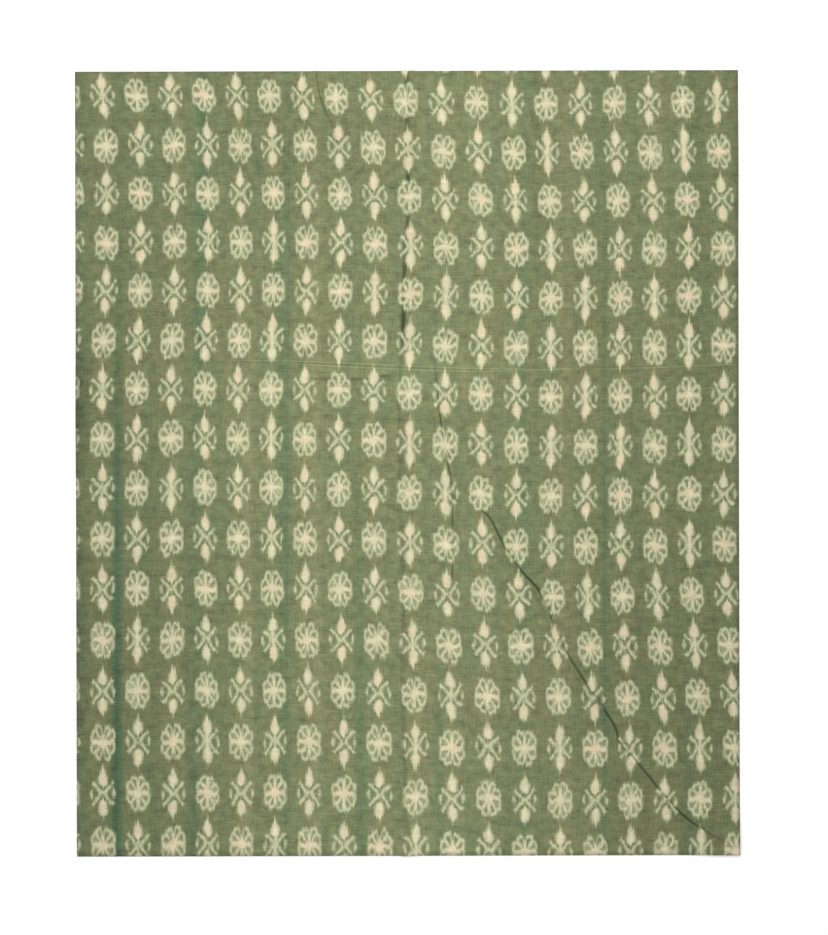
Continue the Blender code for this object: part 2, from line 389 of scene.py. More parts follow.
# Places that lie a little darker or lighter, in columns and rows
Patch = namedtuple("Patch", "name column row half_columns half_rows lighter")

PATCHES = (
    # Painted shade where the left edge lifts off the floor
    Patch("shade in the left edge's lift", -0.40, 6.8, 0.75, 2.3, -0.42),
    Patch("lower left edge", -0.35, 11.4, 0.75, 4.6, -0.20),
    Patch("upper left", 5.3, 1.0, 2.5, 3.6, -0.09),
    Patch("left of the middle", 4.6, 7.2, 3.6, 3.2, 0.05),
    Patch("foot beside the fold", 10.2, 15.2, 1.7, 2.4, 0.07),
    Patch("foot on the right", 13.9, 15.2, 1.2, 2.2, 0.05),
    Patch("pale band along the weft", 9.6, 6.1, 4.2, 0.75, 0.10),
    Patch("beside the fold", 7.9, 1.6, 2.6, 2.2, -0.05),
    Patch("lower right", 16.5, 12.0, 3.6, 4.2, -0.06),
)

# How light the cloth is across its width, as shares of the way from edge to edge and of
# the lightest: partly the cloth's own tone, partly painted light falloff towards the sides.
# The dyed ground is darkened by it twice, once as its tone and once with the figures as
# painted light falloff.
TONE_AND_LIGHT_ACROSS = (
    (0.00, 0.885), (0.09, 0.90), (0.16, 0.925), (0.25, 0.965), (0.36, 0.99), (0.45, 1.00),
    (0.58, 1.00), (0.68, 0.97), (0.76, 0.935), (0.91, 0.91), (1.00, 0.88),
)

# How much of the darkening down the cloth, partly painted light falloff, there is across its width,
# and its size
TONE_AND_LIGHT_DOWN = (
    (0.00, 0.50), (0.15, 0.50), (0.27, 0.08), (0.47, 0.05), (0.62, 0.40), (0.75, 0.55),
    (0.90, 1.00), (1.00, 1.00),
)
DARKER_TO_FOOT = 0.11


def smooth(value):
    """A smooth rise from 0 to 1 as the value goes from 0 to 1."""
    held = np.clip(value, 0.0, 1.0)
    return held * held * (3.0 - 2.0 * held)


def walk_route(corners, step):
    """Points about one step apart along the smooth curve through a route's corners."""
    guides = [np.array(corner) for corner in corners]
    guides.insert(0, 2.0 * guides[0] - guides[1])
    guides.append(2.0 * guides[-1] - guides[-2])
    points = [guides[1]]
    for before, start, end, after in zip(guides, guides[1:], guides[2:], guides[3:]):
        pieces = max(1, round(float(np.linalg.norm(end - start)) / step))
        for piece in range(1, pieces + 1):
            share = piece / pieces
            points.append(0.5 * (2.0 * start + (end - before) * share
                                 + (2.0 * before - 5.0 * start + 4.0 * end - after) * share ** 2
                                 + (3.0 * start - before - 3.0 * end + after) * share ** 3))
    return np.array(points)


def place_on_route(places, route):
    """How far off a route each place lies, positive on its left, and how far along it."""
    nearest = np.full(len(places), np.inf)
    offset = np.zeros(len(places))
    walked = np.zeros(len(places))
    length = 0.0
    for start, end in zip(route, route[1:]):
        leg = end - start
        reach = float(np.linalg.norm(leg))
        away = places - start
        share = np.clip(away @ leg / reach ** 2, 0.0, 1.0)
        gap = away - share[:, None] * leg
        squared = (gap ** 2).sum(axis=1)
        closer = squared < nearest
        side = np.where(leg[0] * gap[:, 1] - leg[1] * gap[:, 0] >= 0.0, 1.0, -1.0)
        nearest = np.where(closer, squared, nearest)
        offset = np.where(closer, side * np.sqrt(squared), offset)
        walked = np.where(closer, length + share * reach, walked)
        length += reach
    return offset, walked, length


def crease_strength(crease, walked, length):
    """How strong a crease is along its route, from its fades and its unevenness."""
    swing = 0.5 + 0.5 * np.sin(2.0 * math.pi * walked / crease.wave)
    strength = 1.0 - crease.uneven * swing
    if crease.fade_in:
        strength = strength * smooth(walked / crease.fade_in)
    if crease.fade_out:
        strength = strength * smooth((length - walked) / crease.fade_out)
    return strength


def lay_of_cloth(places):
    """The cloth's lift, the painted shade of its creases and the cloth they fold away."""
    lift = np.zeros(len(places))
    shade = np.zeros(len(places))
    hidden = np.zeros((len(places), 2))
    for crease in CREASES:
        offset, walked, length = place_on_route(places, walk_route(crease.route, ROUTE_STEP))
        strength = crease_strength(crease, walked, length)
        reach = np.where(offset > 0.0, crease.reach_left, crease.reach_right)
        share = np.clip(np.abs(offset) / reach, 0.0, 1.0)
        valley = np.clip(1.0 - np.abs(offset) / crease.groove_half, 0.0, 1.0)
        ridge = crease.ridge * (0.5 + 0.5 * np.cos(math.pi * share))
        lift += strength * (ridge - crease.groove * smooth(valley))
        # The painted shade in the groove, going from shade to late shade at the turn
        late = smooth((walked / length - crease.turn) / SHADE_CHANGE)
        dark = crease.shade + (crease.late_shade - crease.shade) * late
        shade += dark * strength * np.minimum(GROOVE_FLATNESS * valley, 1.0)
        way = np.array(crease.route[-1]) - np.array(crease.route[0])
        across = np.array((-way[1], way[0])) / np.linalg.norm(way)
        near = np.sign(offset) * strength * np.exp(-np.abs(offset) / HIDDEN_REACH)
        hidden += crease.hidden / 2.0 * near[:, None] * across
    for swell in SWELLS:
        across = (places[:, 0] - swell.x) / swell.half_width
        along = (places[:, 1] - swell.y) / swell.half_length
        lift += swell.height * np.clip(1.0 - across ** 2 - along ** 2, 0.0, 1.0) ** 2
    return lift, np.clip(shade, 0.0, 1.0), hidden


def count_figures(places):
    """The column and row of figures at each place, halfway numbers being figures' middles."""
    cosine = math.cos(CLOTH_TURN)
    sine = math.sin(CLOTH_TURN)
    across = CLOTH_WIDTH / 2 + places[:, 0] * cosine + places[:, 1] * sine
    down = CLOTH_LENGTH / 2 - places[:, 1] * cosine + places[:, 0] * sine
    sag = SAG * smooth((across - SAG_START) / (SAG_END - SAG_START))
    sag -= SAG_RECOVERY * smooth((across - SAG_RECOVERY_START) / (CLOTH_WIDTH - SAG_RECOVERY_START))
    straight = down - sag - FIRST_ROW
    outward = np.abs(2.0 * across / CLOTH_WIDTH - 1.0)
    straight += FIRST_ROW_ARCH * outward * (1.0 - smooth(straight / ROW_PITCH))
    row = (np.sqrt(ROW_PITCH ** 2 + 4.0 * ROW_GROWTH * straight) - ROW_PITCH) / (2.0 * ROW_GROWTH)
    late = smooth((row - LATE_SPREAD_ROW) / LATE_SPREAD_ROWS)
    early = smooth(row / EARLY_SPREAD_ROWS)
    spread = COLUMN_SPREAD * (EARLY_SPREAD * early + (1.0 - EARLY_SPREAD) * late)
    wobble = WOBBLE * smooth(row - WOBBLE_FROM_ROW)
    wobble -= WOBBLE * smooth((row - WOBBLE_UNTIL_ROW) / WOBBLE_FADE_ROWS)
    column = (across - FIRST_COLUMN) / COLUMN_PITCH
    for _pass in range(PITCH_PASSES):
        bow = np.clip((column - BOW_CENTRE) / BOW_REACH, -1.0, 1.0)
        pulled = BOW_DEPTH * (0.5 + 0.5 * np.cos(math.pi * bow))
        held = np.clip(1.0 - column / WOBBLE_COLUMNS, 0.0, 1.0)
        column = (across - FIRST_COLUMN + pulled - held * wobble) / (COLUMN_PITCH + spread)
    return column + 0.5, row + 0.5


def read_places(mesh):
    """The X and Y of every point of a mesh."""
    flat = np.empty(len(mesh.vertices) * 3)
    mesh.vertices.foreach_get("co", flat)
    return flat.reshape(-1, 3)[:, :2].copy()


def split_faces(piece, chosen, cuts):
    """Split the chosen faces of a piece in edit mode."""
    bpy.ops.object.mode_set(mode="EDIT")
    bpy.ops.mesh.select_mode(type="FACE")
    bpy.ops.mesh.select_all(action="DESELECT")
    bpy.ops.object.mode_set(mode="OBJECT")
    piece.data.polygons.foreach_set("select", chosen)
    bpy.ops.object.mode_set(mode="EDIT")
    bpy.ops.mesh.subdivide(number_cuts=cuts, ngon=False)
    bpy.ops.object.mode_set(mode="OBJECT")


def faces_near_creases(piece, distance):
    """Which faces of a piece have their middle within the given distance of a crease."""
    centres = np.empty(len(piece.data.polygons) * 3)
    piece.data.polygons.foreach_get("center", centres)
    centres = centres.reshape(-1, 3)[:, :2]
    near = np.zeros(len(centres), dtype=bool)
    for crease in CREASES:
        offset, _walked, _length = place_on_route(centres, walk_route(crease.route, ROUTE_STEP))
        near |= np.abs(offset) < distance
    return near


def make_cloth():
    """The sheet: a grid, finer at the creases, lifted to its lie and given its thickness."""
    bpy.ops.object.select_all(action="DESELECT")
    bpy.ops.mesh.primitive_grid_add(x_subdivisions=round(CLOTH_WIDTH / SQUARE),
                                    y_subdivisions=round(CLOTH_LENGTH / SQUARE),
                                    size=1.0, calc_uvs=False)
    cloth = bpy.context.active_object
    cloth.name = "ikat_cloth_sheet"
    cloth.data.name = cloth.name
    cloth.scale = (CLOTH_WIDTH, CLOTH_LENGTH, 1.0)
    cloth.rotation_euler.z = CLOTH_TURN
    bpy.ops.object.transform_apply(location=False, rotation=True, scale=True)
    split_faces(cloth, faces_near_creases(cloth, BESIDE_CREASE), BESIDE_CREASE_CUTS)
    split_faces(cloth, faces_near_creases(cloth, IN_GROOVE), IN_GROOVE_CUTS)
    lay_the_sheet(cloth)
    thicken(cloth)
    bpy.ops.object.shade_smooth()
    return cloth


def lay_the_sheet(cloth):
    """Lift every point to the cloth's lie, and note its figures and its creases' painted shade on it.
    """
    mesh = cloth.data
    places = read_places(mesh)
    lift, shade, hidden = lay_of_cloth(places)
    heights = np.column_stack((places, np.maximum(lift, 0.0)))
    mesh.vertices.foreach_set("co", heights.ravel())
    column, row = count_figures(places + hidden)
    corners = np.empty(len(mesh.loops), dtype=np.int32)
    mesh.loops.foreach_get("vertex_index", corners)
    lowest = places.min(axis=0)
    size = places.max(axis=0) - lowest
    flat = (places - lowest) / size
    write_uv(mesh, "OFBake", flat[corners])
    write_uv(mesh, "Weave", np.column_stack((column, row))[corners])
    # The painted shade of the creases, which the material reads
    dark = mesh.attributes.new("crease_shade", "FLOAT", "POINT")
    dark.data.foreach_set("value", shade)


def write_uv(mesh, name, values):
    """Add a UV map with the given place for every face corner."""
    layer = mesh.uv_layers.new(name=name)
    layer.data.foreach_set("uv", values.astype(np.float32).ravel())


def thicken(cloth):
    """Give the sheet its thickness upwards from its underside."""
    solidify = cloth.modifiers.new("thickness", "SOLIDIFY")
    solidify.thickness = CLOTH_THICKNESS
    solidify.offset = 1.0
    bpy.ops.object.modifier_apply(modifier=solidify.name)


class Wiring:
    """Adds nodes to one material and joins them up. A value is a number or a socket."""

    def __init__(self, material):
        self.nodes = material.node_tree.nodes
        self.links = material.node_tree.links

    def feed(self, socket, value):
        """Set a socket to a number or a colour, or link another node's output to it."""
        if isinstance(value, bpy.types.NodeSocket):
            self.links.new(value, socket)
        else:
            socket.default_value = value

    def maths(self, operation, *values, clamp=False):
        """One maths node over up to three values."""
        node = self.nodes.new("ShaderNodeMath")
        node.operation = operation
        node.use_clamp = clamp
        for socket, value in zip(node.inputs, values):
            self.feed(socket, value)
        return node.outputs[0]

    def add(self, first, second):
        return self.maths("ADD", first, second)

    def subtract(self, first, second):
        return self.maths("SUBTRACT", first, second)

    def times(self, first, second):
        return self.maths("MULTIPLY", first, second)

    def scaled(self, value, factor, offset):
        """Value times factor plus offset."""
        return self.maths("MULTIPLY_ADD", value, factor, offset)

    def size(self, value):
        return self.maths("ABSOLUTE", value)

    def most(self, first, *others):
        """The largest of several values."""
        for other in others:
            first = self.maths("MAXIMUM", first, other)
        return first

    def least(self, first, *others):
        """The smallest of several values."""
        for other in others:
            first = self.maths("MINIMUM", first, other)
        return first

    def length(self, first, second):
        """The length of a step whose two parts are given."""
        squares = self.maths("MULTIPLY_ADD", first, first, self.times(second, second))
        return self.maths("SQRT", squares)

    def ramp(self, value, start, end, low=0.0, high=1.0):
        """A smooth change from low to high as the value goes from start to end."""
        node = self.nodes.new("ShaderNodeMapRange")
        node.interpolation_type = "SMOOTHSTEP"
        for name, given in (("Value", value), ("From Min", start), ("From Max", end),
                            ("To Min", low), ("To Max", high)):
            self.feed(node.inputs[name], given)
        return node.outputs["Result"]

    def random(self, first, second=0.0, seed=0.0):
        """A number from 0 to 1 that is the same wherever its three values are."""
        place = self.nodes.new("ShaderNodeCombineXYZ")
        for socket, value in zip(place.inputs, (first, second, seed)):
            self.feed(socket, value)
        node = self.nodes.new("ShaderNodeTexWhiteNoise")
        node.noise_dimensions = "3D"
        self.links.new(place.outputs[0], node.inputs["Vector"])
        return node.outputs["Value"]

    def clouds(self, first, second, seed=0.0, detail=1.0):
        """A smooth random number around one half that changes over about one unit."""
        place = self.nodes.new("ShaderNodeCombineXYZ")
        for socket, value in zip(place.inputs, (first, second, seed)):
            self.feed(socket, value)
        node = self.nodes.new("ShaderNodeTexNoise")
        node.noise_dimensions = "3D"
        node.inputs["Scale"].default_value = 1.0
        node.inputs["Detail"].default_value = detail
        node.inputs["Roughness"].default_value = FINER_SHARE
        self.links.new(place.outputs[0], node.inputs["Vector"])
        return node.outputs["Fac"]

    def blend(self, share, first, second, way="MIX"):
        """Mix two colours by a share."""
        node = self.nodes.new("ShaderNodeMix")
        node.data_type = "RGBA"
        node.blend_type = way
        node.clamp_factor = True
        self.feed(node.inputs["Factor"], share)
        self.feed(node.inputs["A"], first)
        self.feed(node.inputs["B"], second)
        return node.outputs["Result"]

    def lighten(self, shade, factor):
        """A colour times a number."""
        node = self.nodes.new("ShaderNodeVectorMath")
        node.operation = "SCALE"
        self.feed(node.inputs[0], shade)
        self.feed(node.inputs["Scale"], factor)
        return node.outputs[0]


def colour(steps):
    """A picture colour as a socket's value."""
    return (*linear(*steps), 1.0)


Place = namedtuple("Place", "column row across down from_left from_foot")


def map_parts(w, name):
    """The two parts of the place on one of the cloth's UV maps."""
    place = w.nodes.new("ShaderNodeUVMap")
    place.uv_map = name
    parts = w.nodes.new("ShaderNodeSeparateXYZ")
    w.links.new(place.outputs["UV"], parts.inputs[0])
    return parts.outputs["X"], parts.outputs["Y"]


def cloth_place(w):
    """Where a point of the cloth is: its column and row, the same in millimetres of the
    figures' own sizes, and its millimetres from the left edge and from the foot."""
    column, row = map_parts(w, "Weave")
    left, foot = map_parts(w, "OFBake")
    return Place(column, row, w.times(column, FIGURE_PITCH_ACROSS), w.times(row, FIGURE_PITCH_ALONG),
                 w.times(left, CLOTH_WIDTH * MILLIMETRES), w.times(foot, CLOTH_LENGTH * MILLIMETRES))


def uneven(w, place, stretch):
    """A smooth random number around one half that changes from stretch to stretch."""
    return w.clouds(w.times(place.across, 1.0 / stretch.across),
                    w.times(place.down, 1.0 / stretch.down), stretch.seed, stretch.detail)


def spaced(w, value, count):
    """The number of the strip that a value falls in, at so many strips to a unit."""
    return w.maths("FLOOR", w.times(value, count))


def swing(w, chance, reach):
    """A random number spread evenly from minus reach to reach."""
    return w.scaled(chance, 2.0 * reach, -reach)


def curve(w, value, points):
    """A smooth curve through a few points, from 0 to 1 both ways."""
    node = w.nodes.new("ShaderNodeFloatCurve")
    line = node.mapping.curves[0]
    line.points[0].location = points[0]
    line.points[1].location = points[-1]
    for point in points[1:-1]:
        line.points.new(*point)
    node.mapping.update()
    w.feed(node.inputs["Value"], value)
    return node.outputs[0]


def rosette(w, across, along, notched, square, filled):
    """How far inside the undyed parts of an eight-petalled rosette, and how near its pale
    middle, a point is. Notched is how far up the notches' roots lie, square is how square
    the outline is, and filled is how far the petals' eyes have filled in."""
    wide = w.times(w.size(across), 1.0 / ROSETTE_HALF_WIDTH)
    tall = w.times(w.size(along), 1.0 / ROSETTE_HALF_HEIGHT)
    turn = w.times(w.maths("ARCTAN2", tall, wide), PETALS / (2.0 * math.pi))
    between = w.size(w.scaled(w.maths("FRACT", turn), 2.0, -1.0))
    gap_rim = w.add(w.ramp(turn, 0.0, 1.0, SIDE_RIM, MIDDLE_RIM),
                    w.ramp(turn, 1.0, 2.0, 0.0, TOP_RIM - MIDDLE_RIM))
    petal_rim = w.ramp(turn, *PETAL_CHANGE, SIDE_PETAL_RIM, TOP_PETAL_RIM)
    rim = w.add(petal_rim, w.times(w.times(between, between), w.subtract(gap_rim, petal_rim)))
    squared = w.add(w.maths("POWER", wide, square), w.maths("POWER", tall, square))
    reach = w.maths("POWER", squared, w.maths("DIVIDE", 1.0, square))
    body = w.times(w.subtract(rim, reach), ROSETTE_DEPTH)
    out = w.length(wide, tall)
    to_spoke = w.times(w.subtract(1.0, between), math.pi / PETALS)
    spoke = w.ramp(w.size(w.subtract(turn, 1.0)), *SPOKE_CHANGE,
                   DIAGONAL_SPOKE_HALF_WIDTH, STRAIGHT_SPOKE_HALF_WIDTH)
    off_spoke = w.subtract(w.times(w.times(out, w.maths("SINE", to_spoke)), ROSETTE_DEPTH), spoke)
    off_centre = w.subtract(w.length(across, w.times(along, CENTRE_SQUASH)), CENTRE_REACH)
    eye = w.maths("SMOOTH_MIN", off_spoke, w.subtract(body, OUTER_WALL), EYE_ROUNDING)
    eye = w.maths("SMOOTH_MIN", eye, off_centre, EYE_ROUNDING)
    eyes = w.ramp(off_centre, EYE_REACH, 0.0)
    inside = w.least(body, w.most(w.times(eye, -1.0), w.scaled(eyes, EYE_FILLING, filled)))
    notch = w.subtract(w.times(w.subtract(w.size(along), notched), NOTCH_SPREAD), w.size(across))
    return w.least(inside, w.times(notch, -1.0)), eyes


def spindle(w, across, along, fused, longer):
    """How far inside the two buds, and inside the arms between them and the side marks, a
    point is, in millimetres. Fused is 1 where the buds run together, and longer is how much
    farther out than usual the tips are."""
    beside = w.size(across)
    above = w.size(along)
    upper = w.maths("GREATER_THAN", along, 0.0)
    tip = w.add(w.scaled(upper, UPPER_TIP - LOWER_TIP, LOWER_TIP), longer)
    share_out = w.maths("DIVIDE", above, tip)
    outline = w.add(w.times(curve(w, share_out, UPPER_BUD), upper),
                    w.times(curve(w, share_out, LOWER_BUD), w.subtract(1.0, upper)))
    waist = w.times(w.ramp(above, WAIST_START, WAIST_FULL), w.times(fused, WAIST_HALF_WIDTH))
    bud = w.least(w.subtract(w.most(w.times(outline, BUD_HALF_WIDTH), waist), beside),
                  w.times(w.subtract(tip, above), TIP_SLOPE))
    arm_place = w.length(w.times(above, ARM_RISE), ARM_GAP)
    off_arm = w.times(w.size(w.subtract(arm_place, beside)), ARM_TILT)
    out = w.length(beside, above)
    arm = w.least(w.subtract(ARM_HALF_WIDTH, off_arm), w.subtract(ARM_END, out))
    knot = w.subtract(KNOT_REACH, out)
    share = w.times(above, 1.0 / SIDE_MARK_HALF_LENGTH)
    bent = w.times(share, share)
    middle = w.scaled(bent, -SIDE_MARK_BULGE, SIDE_MARK_PLACE)
    mark = w.subtract(w.scaled(bent, -SIDE_MARK_HALF_WIDTH, SIDE_MARK_HALF_WIDTH),
                      w.size(w.subtract(beside, middle)))
    return bud, w.most(arm, knot, mark)


def nearest_figure(w, row, odd):
    """Millimetres above the nearest figure of a kind that stands in every second row, and
    the number of its row. Odd is 1 where its rows are the odd ones."""
    halves = w.times(w.subtract(w.subtract(row, 0.5), odd), 0.5)
    turn = w.maths("ROUND", halves)
    along = w.times(w.subtract(turn, halves), 2.0 * FIGURE_PITCH_ALONG)
    return along, w.add(w.times(turn, 2.0), odd)


def how_fused(w, number, figure_row):
    """How far the two buds of a spindle run together, from 0 to about 1."""
    fourth = w.maths("COMPARE", w.maths("FLOORED_MODULO", number, FUSED_EVERY), FUSED_COLUMN, 0.1)
    fused = w.times(fourth, w.ramp(number, *FUSED_COLUMNS_RAMP))
    fused = w.times(fused, w.scaled(w.random(number, figure_row, 10.0), FUSED_SWING, LEAST_FUSED))
    return w.most(fused, w.ramp(w.random(number, figure_row, 6.0), *STRAY_FUSED_RAMP))


def ikat_figures(w, place):
    """How far inside any undyed figure a point is, in millimetres, and how near it is to a
    bud and to a rosette's middle, from 0 to 1."""
    number = w.maths("FLOOR", place.column)
    odd = w.maths("FLOORED_MODULO", number, 2.0)
    even = w.subtract(1.0, odd)
    wander_across = swing(w, uneven(w, place, WANDER_ACROSS), HAND_WANDER)
    wander_along = swing(w, uneven(w, place, WANDER_ALONG), HAND_WANDER)
    bundle = spaced(w, place.column, BUNDLES_IN_COLUMN)
    bundle_middle = w.scaled(bundle, 1.0 / BUNDLES_IN_COLUMN, 0.5 / BUNDLES_IN_COLUMN)
    stepped = w.add(w.times(place.column, 1.0 - BUNDLE_STEP), w.times(bundle_middle, BUNDLE_STEP))
    across = w.times(w.subtract(w.subtract(stepped, number), 0.5), FIGURE_PITCH_ACROSS)
    across = w.add(across, w.times(wander_across, WANDER_SIDEWAYS))
    sets = spaced(w, w.add(place.column, SET_SHIFT), SETS_IN_COLUMN)
    slip = w.add(swing(w, w.random(sets, 0.0, 1.0), SET_SLIP),
                 swing(w, w.random(bundle, 0.0, 2.0), BUNDLE_SLIP))
    slip = w.add(slip, wander_along)
    thread = spaced(w, place.column, THREADS_IN_COLUMN)
    feather = swing(w, w.random(thread, spaced(w, place.row, 2.0), 3.0), THREAD_FEATHER)

    spindle_along, spindle_row = nearest_figure(w, place.row, odd)
    spindle_slip = w.add(slip, swing(w, w.random(number, spindle_row, 4.0), FIGURE_SLIP))
    spindle_feather = w.times(feather, w.ramp(w.size(spindle_along), *SPINDLE_FEATHER))
    longer = swing(w, w.random(number, spindle_row, 9.0), TIP_SWING)
    bud, thin_parts = spindle(w, across, w.add(w.add(spindle_along, spindle_slip), spindle_feather),
                              how_fused(w, number, spindle_row), longer)

    rosette_along, rosette_row = nearest_figure(w, place.row, even)
    rosette_slip = w.add(slip, swing(w, w.random(number, rosette_row, 5.0), FIGURE_SLIP))
    rosette_feather = w.times(feather, w.ramp(w.size(rosette_along), *ROSETTE_FEATHER))
    notched = w.scaled(even, NOTCH_ROOT - SHUT_NOTCH_ROOT, SHUT_NOTCH_ROOT)
    notched = w.add(notched, swing(w, w.random(number, rosette_row, 7.0), NOTCH_SWING))
    chance = w.random(spaced(w, place.column, 2.0), rosette_row, 8.0)
    filled = w.scaled(w.times(chance, chance), FILLING_SWING, LEAST_FILLED)
    square = w.scaled(even, NOTCHED_SQUARENESS - ROSETTE_SQUARENESS, ROSETTE_SQUARENESS)
    rosettes, eyes = rosette(w, across, w.add(w.add(rosette_along, rosette_slip), rosette_feather),
                             notched, square, filled)

    seep = swing(w, uneven(w, place, SEEPING), SEEP)
    inside = w.add(w.most(bud, thin_parts, rosettes), seep)
    return inside, w.ramp(bud, *BESIDE_BUD_RAMP), eyes


def ground(w, place, inside, beside_bud):
    """The dyed ground's colour, with its bands, its stripes and its browner halos."""
    mixed = w.add(w.times(uneven(w, place, GREEN_BANDS), BAND_SHARE),
                  w.times(uneven(w, place, GREEN_SPOTS), 1.0 - BAND_SHARE))
    shade = w.blend(w.ramp(mixed, *TEAL_RAMP), colour(GROUND_OLIVE), colour(GROUND_TEAL))
    browns = uneven(w, place, BROWN_PLACES)
    near = w.times(w.ramp(inside, *NEAR_FIGURE_RAMP), w.ramp(browns, *NEAR_BROWN_RAMP))
    close = w.times(beside_bud, w.ramp(browns, *CLOSE_BROWN_RAMP))
    shade = w.blend(w.most(near, close), shade, colour(HALO_BROWN))
    for stripe in STRIPES:
        middle = w.scaled(place.row, stripe.lean / ROWS, stripe.from_left)
        band = w.ramp(w.size(w.subtract(place.from_left, middle)), stripe.half_width, 0.0)
        strength = w.ramp(place.row, stripe.from_row, stripe.full_row, stripe.least, stripe.most)
        shade = w.blend(w.times(band, strength), shade, colour(stripe.dye))
    return shade


def yarn_lightness(w, place):
    """How much lighter the uneven yarns and slubs are than the cloth around them."""
    slubs = uneven(w, place, SLUBS)
    light = w.subtract(w.ramp(slubs, *THICK_SLUB_RAMP), w.ramp(slubs, *THIN_SLUB_RAMP))
    for stretch, reach in LIGHTNESS_SWINGS:
        light = w.add(light, w.scaled(uneven(w, place, stretch), reach, -0.5 * reach))
    return light


def weft_thread_lightness(w, place):
    """How much lighter the single weft threads are than the cloth around them."""
    light = 0.0
    for thread in WEFT_THREADS:
        along = w.subtract(place.column, thread.middle)
        middle = w.scaled(w.times(along, along), -thread.bow, thread.row)
        off = w.times(w.size(w.subtract(place.row, middle)), FIGURE_PITCH_ALONG)
        shown = w.times(w.ramp(place.column, thread.from_column, thread.from_column + 1.0),
                        w.ramp(place.column, thread.to_column, thread.to_column - 1.0))
        light = w.add(light, w.times(shown, w.ramp(off, thread.half_width, 0.0, 0.0, thread.lighter)))
    return light


def patch_lightness(w, place):
    """How much lighter the larger places are than the cloth around them."""
    light = 0.0
    for patch in PATCHES:
        aside = w.times(w.subtract(place.column, patch.column), 1.0 / patch.half_columns)
        below = w.times(w.subtract(place.row, patch.row), 1.0 / patch.half_rows)
        light = w.add(light, w.ramp(w.length(aside, below), 1.0, 0.1, 0.0, patch.lighter))
    return light


def tone_and_light_falloff(w, place):
    """How light the cloth's own tone and the painted light falloff leave it at a place: darker
    towards the sides and the foot.
    """
    across = w.times(place.column, 1.0 / COLUMNS)
    down = w.times(curve(w, across, TONE_AND_LIGHT_DOWN),
                   w.scaled(place.row, -DARKER_TO_FOOT / ROWS, DARKER_TO_FOOT / 2.0))
    return w.times(curve(w, across, TONE_AND_LIGHT_ACROSS), w.add(down, 1.0))


def thread_relief(w, place):
    """The normal of the cloth's face with its threads and slubs in low relief."""
    threads = w.add(uneven(w, place, RAISED_WARP), uneven(w, place, RAISED_WEFT))
    cockle = w.times(uneven(w, place, COCKLE), COCKLE_RELIEF)
    node = w.nodes.new("ShaderNodeBump")
    node.inputs["Strength"].default_value = 1.0
    node.inputs["Distance"].default_value = RELIEF_UNIT
    w.feed(node.inputs["Height"], w.add(w.times(threads, THREAD_RELIEF), cockle))
    return node.outputs["Normal"]


def edge_shade(w, place):
    """How much painted shade darkens a point near the cut edges, from 0 to 1: most at the sides,
    least at the foot.
    """
    half = CLOTH_WIDTH * MILLIMETRES / 2.0
    from_side = w.subtract(half, w.size(w.subtract(place.from_left, half)))
    from_top = w.subtract(CLOTH_LENGTH * MILLIMETRES, place.from_foot)
    return w.most(w.ramp(from_side, *SIDE_EDGE_RAMP), w.ramp(from_top, *TOP_EDGE_RAMP),
                  w.ramp(place.from_foot, *FOOT_EDGE_RAMP))


def undyed_cotton(w, place, inside):
    """The figures' colour, paler and here and there peach towards their middles."""
    undyed = w.nodes.new("ShaderNodeValToRGB")
    ramp = undyed.color_ramp
    ramp.elements[0].color = colour(RESIST_COLOURS[0][1])
    ramp.elements[1].color = colour(RESIST_COLOURS[-1][1])
    for share, steps in RESIST_COLOURS[1:-1]:
        ramp.elements.new(share).color = colour(steps)
    w.feed(undyed.inputs["Fac"], w.ramp(inside, *PALENESS_RAMP))
    peach = w.times(w.ramp(inside, *PEACH_RAMP), w.ramp(uneven(w, place, WARM_PLACES), *WARM_RAMP))
    return w.blend(peach, undyed.outputs["Color"], colour(PEACH))


def darken_creases(w, inside, cotton):
    """The cloth's colour with painted shade in its creases, less where they cross a figure."""
    dark = w.nodes.new("ShaderNodeAttribute")
    dark.attribute_name = "crease_shade"
    crease_painted_shade = w.times(dark.outputs["Fac"], w.ramp(inside, *CREASE_DARK_RAMP))
    return w.blend(crease_painted_shade, cotton, colour(CREASE_DARK))


def ikat_material():
    """Hand-woven cotton with figures tied off before dyeing, threads, slubs and creases."""
    material = bpy.data.materials.new("ikat_cotton")
    material.use_nodes = True
    w = Wiring(material)
    place = cloth_place(w)
    inside, beside_bud, eyes = ikat_figures(w, place)
    # The cloth's own tone and painted light falloff, darker towards the sides and the foot
    tone_and_falloff = tone_and_light_falloff(w, place)
    dyed = w.lighten(ground(w, place, inside, beside_bud), tone_and_falloff)
    undyed_share = w.ramp(inside, *UNDYED_RAMP)
    cotton = w.blend(undyed_share, dyed, undyed_cotton(w, place, inside))
    cotton = w.blend(w.times(eyes, w.ramp(inside, *EYE_BROWN_RAMP)), cotton, colour(EYE_BROWN))
    light = w.add(yarn_lightness(w, place), weft_thread_lightness(w, place))
    light = w.add(light, patch_lightness(w, place))
    light = w.times(light, w.scaled(undyed_share, SWING_SHARE_IN_FIGURES - 1.0, 1.0))
    # With the figures, darker again towards the sides and the foot as painted light falloff
    cotton = w.lighten(cotton, w.times(w.add(light, 1.0), tone_and_falloff))
    # Painted shade along the cut edges
    cotton = w.blend(edge_shade(w, place), cotton, colour(EDGE_DARK))
    # Painted shade in the creases
    cotton = darken_creases(w, inside, cotton)

    shader = w.nodes["Principled BSDF"]
    w.feed(shader.inputs["Base Color"], cotton)
    shader.inputs["Roughness"].default_value = COTTON_ROUGHNESS
    shader.inputs["Specular IOR Level"].default_value = COTTON_SPECULAR
    shader.inputs["Sheen Weight"].default_value = COTTON_SHEEN
    shader.inputs["Sheen Roughness"].default_value = SHEEN_ROUGHNESS
    w.feed(shader.inputs["Normal"], thread_relief(w, place))
    return material


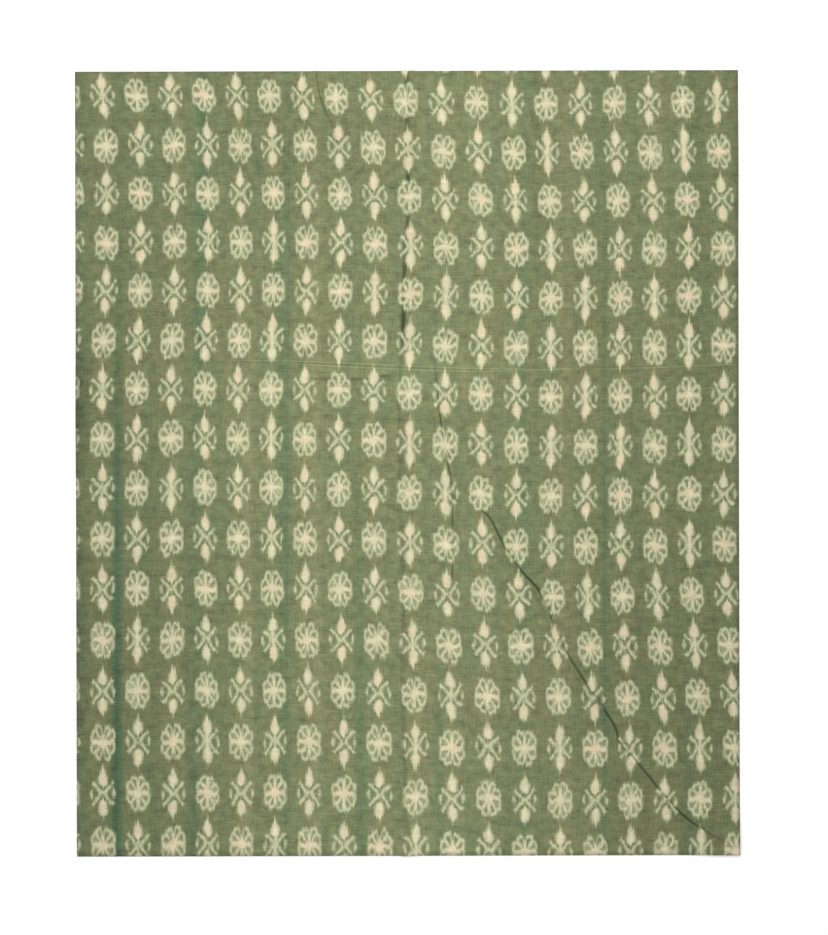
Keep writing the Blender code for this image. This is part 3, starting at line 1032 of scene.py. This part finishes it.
# The plain studio: a wide floor a hair below the cloth, and soft light from above
FLOOR_SIZE = 30.0
FLOOR_GAP = 0.0002
FLOOR_WHITE = (0.94, 0.94, 0.94, 1.0)
FLOOR_ROUGHNESS = 0.9
FLOOR_SPECULAR = 0.1
AIR_WHITE = (1.0, 1.0, 1.0, 1.0)
AIR_STRENGTH = 0.60
SOFT_BOX_SIZE = 3.0
SOFT_BOX_POWER = 110.0
SOFT_BOX_PLACE = (-0.6, 1.3, 3.5)
SOFT_BOX_TURN = (math.radians(-20.0), math.radians(-10.0), 0.0)

# The camera looks straight down through a long lens
LENS = 85.0
SENSOR = 36.0
VIEW_HEIGHT = 1.1893
VIEW_CENTRE = (0.0084, -0.0053)


def make_floor():
    """A plain pale floor, wide enough for every view."""
    bpy.ops.object.select_all(action="DESELECT")
    bpy.ops.mesh.primitive_plane_add(size=FLOOR_SIZE, location=(0.0, 0.0, -FLOOR_GAP))
    floor = bpy.context.active_object
    floor.name = "studio_floor"
    material = bpy.data.materials.new("pale_floor")
    material.use_nodes = True
    shader = material.node_tree.nodes["Principled BSDF"]
    shader.inputs["Base Color"].default_value = FLOOR_WHITE
    shader.inputs["Roughness"].default_value = FLOOR_ROUGHNESS
    shader.inputs["Specular IOR Level"].default_value = FLOOR_SPECULAR
    floor.data.materials.append(material)
    return floor


def make_camera():
    """The photo's view: straight down on the cloth."""
    data = bpy.data.cameras.new("camera")
    data.lens = LENS
    data.sensor_width = SENSOR
    camera = bpy.data.objects.new("camera", data)
    camera.location = (*VIEW_CENTRE, VIEW_HEIGHT * LENS / SENSOR)
    bpy.context.scene.collection.objects.link(camera)
    bpy.context.scene.camera = camera


def make_lights():
    """Soft even light from above with a slight lead from the upper left."""
    world = bpy.data.worlds.new("studio_air")
    world.use_nodes = True
    world.node_tree.nodes["Background"].inputs["Color"].default_value = AIR_WHITE
    world.node_tree.nodes["Background"].inputs["Strength"].default_value = AIR_STRENGTH
    bpy.context.scene.world = world
    data = bpy.data.lights.new("soft_box", "AREA")
    data.shape = "SQUARE"
    data.size = SOFT_BOX_SIZE
    data.energy = SOFT_BOX_POWER
    light = bpy.data.objects.new("soft_box", data)
    light.location = SOFT_BOX_PLACE
    light.rotation_euler = SOFT_BOX_TURN
    bpy.context.scene.collection.objects.link(light)


cloth = make_cloth()
cloth.data.materials.clear()
cloth.data.materials.append(ikat_material())
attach(cloth, "root")
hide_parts(CAD_NODE)
floor = make_floor()
make_camera()
make_lights()
bpy.context.scene.view_settings.view_transform = "Standard"
